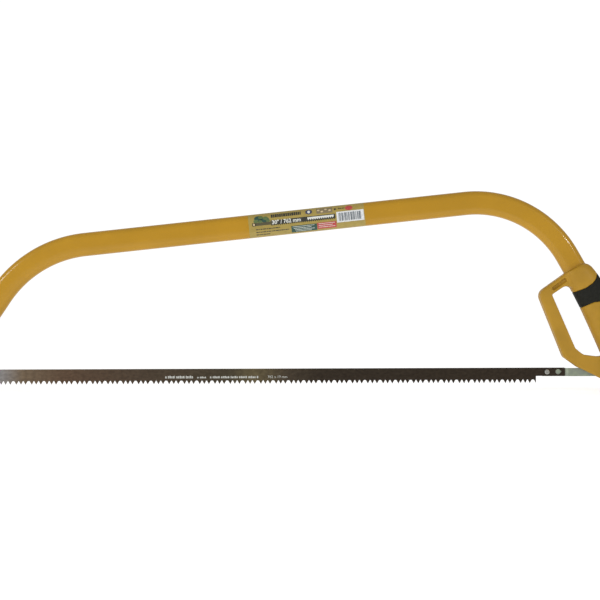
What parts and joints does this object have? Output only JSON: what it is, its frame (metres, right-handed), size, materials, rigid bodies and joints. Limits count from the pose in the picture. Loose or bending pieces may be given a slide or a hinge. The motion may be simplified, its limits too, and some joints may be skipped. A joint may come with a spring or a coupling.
{
  "type": "bow saw",
  "caption": "Bow saw with an oval tube frame, a toothed blade on pins, a D handle with knuckle guard, and a tension lever along the palm side of the grip.",
  "frame": {"origin": "under the middle of the saw's box, at the height of its lowest point, the foot of the handle", "axes": "+X from the toe to the handle along the blade, +Z from the teeth to the frame's back, +Y through the saw's thickness, away from the labelled side"},
  "size_m": [0.9019, 0.029, 0.2501],
  "materials": {
    "frame_paint": "glossy mustard-yellow enamel on steel tube",
    "handle_plastic": "satin moulded polypropylene, mustard yellow",
    "grip_rubber": "matt black moulded rubber",
    "blade_steel": "hardened and tempered steel, dark brown-grey, ground",
    "zinc_plate": "yellow-passivated zinc plate",
    "pin_steel": "bright turned steel",
    "nylon": "natural nylon",
    "label_film": "printed self-adhesive film"
  },
  "bodies": {
    "frame": {"frame_tube": "frame_paint", "frame_label": "label_film", "handle_shell_near": "handle_plastic", "handle_shell_far": "handle_plastic", "grip_band": "grip_rubber", "handle_screw_1": "pin_steel", "handle_screw_2": "pin_steel", "handle_screw_3": "pin_steel", "handle_screw_4": "pin_steel", "handle_screw_5": "pin_steel", "handle_screw_6": "pin_steel", "tube_fixing_screw": "pin_steel", "pivot_stud_near": "pin_steel", "pivot_stud_far": "pin_steel", "pivot_washer_near": "nylon", "pivot_washer_far": "nylon"},
    "tension_lever": {"lever_core": "zinc_plate", "lever_cover": "handle_plastic", "lever_rivet_lower": "pin_steel", "lever_rivet_upper": "pin_steel", "link_pin": "pin_steel"},
    "blade_link": {"blade_link": "zinc_plate", "blade_peg": "pin_steel"},
    "blade": {"blade": "blade_steel", "toe_pin": "pin_steel", "toe_pin_clip_near": "zinc_plate", "toe_pin_clip_far": "zinc_plate"}
  },
  "joints": [
    {"name": "lever_pivot", "type": "hinge", "parent": "frame", "child": "tension_lever", "pos_m": [0.42097, 0, 0.023], "axis": [0, 1, 0], "range_deg": [0, 115]},
    {"name": "link_pivot", "type": "hinge", "parent": "tension_lever", "child": "blade_link", "pos_m": [0.43097, 0, 0.023], "axis": [0, 1, 0], "range_deg": [-115, 0]},
    {"name": "blade_swing", "type": "hinge", "parent": "blade_link", "child": "blade", "pos_m": [0.31257, 0, 0.024], "axis": [0, 1, 0], "range_deg": [-15, 0]}
  ],
  "couplings": [
    {"joint": "link_pivot", "follows": "lever_pivot", "ratio": -1}
  ]
}
